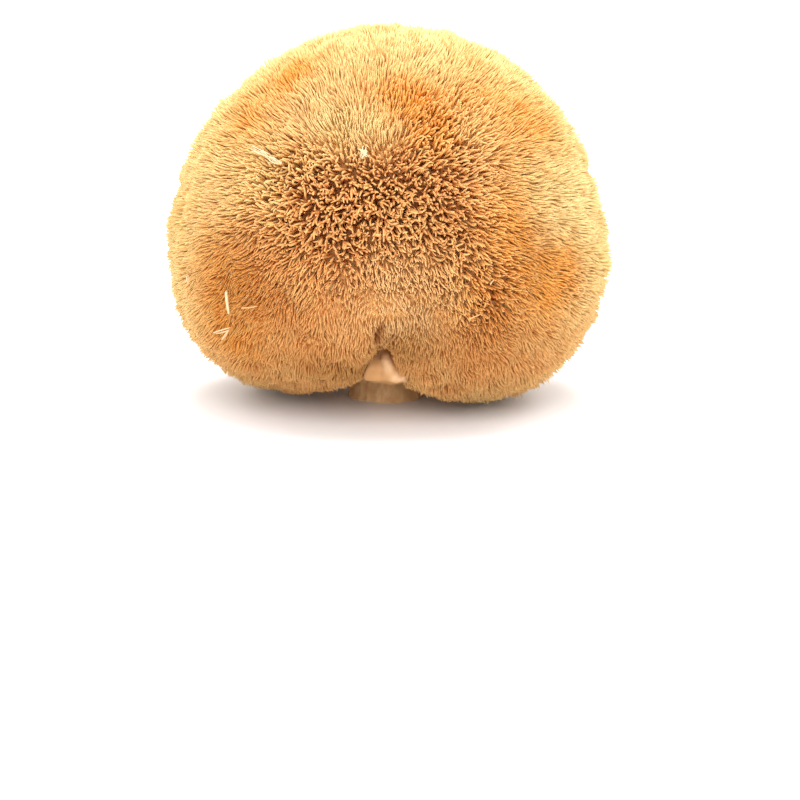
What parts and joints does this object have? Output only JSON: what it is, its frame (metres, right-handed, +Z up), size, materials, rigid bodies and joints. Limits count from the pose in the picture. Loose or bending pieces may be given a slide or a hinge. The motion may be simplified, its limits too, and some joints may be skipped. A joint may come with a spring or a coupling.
{
  "type": "dried lion's mane mushroom",
  "caption": "Whole dried lion's mane mushroom: a round spiny body with a fold between its two lower lobes, standing on the cut stub of its stalk.",
  "frame": {"origin": "on the surface that the mushroom rests on, under the middle of its bounding box", "axes": "+Z up from the cut stalk to the crown, +X to the right as seen from the front, -Y towards the front, where the fold between the two lower lobes opens"},
  "size_m": [0.09, 0.076, 0.0765],
  "materials": {
    "spines": "matte"
  },
  "bodies": {
    "root": {"fruiting_body": "spines"}
  },
  "joints": []
}
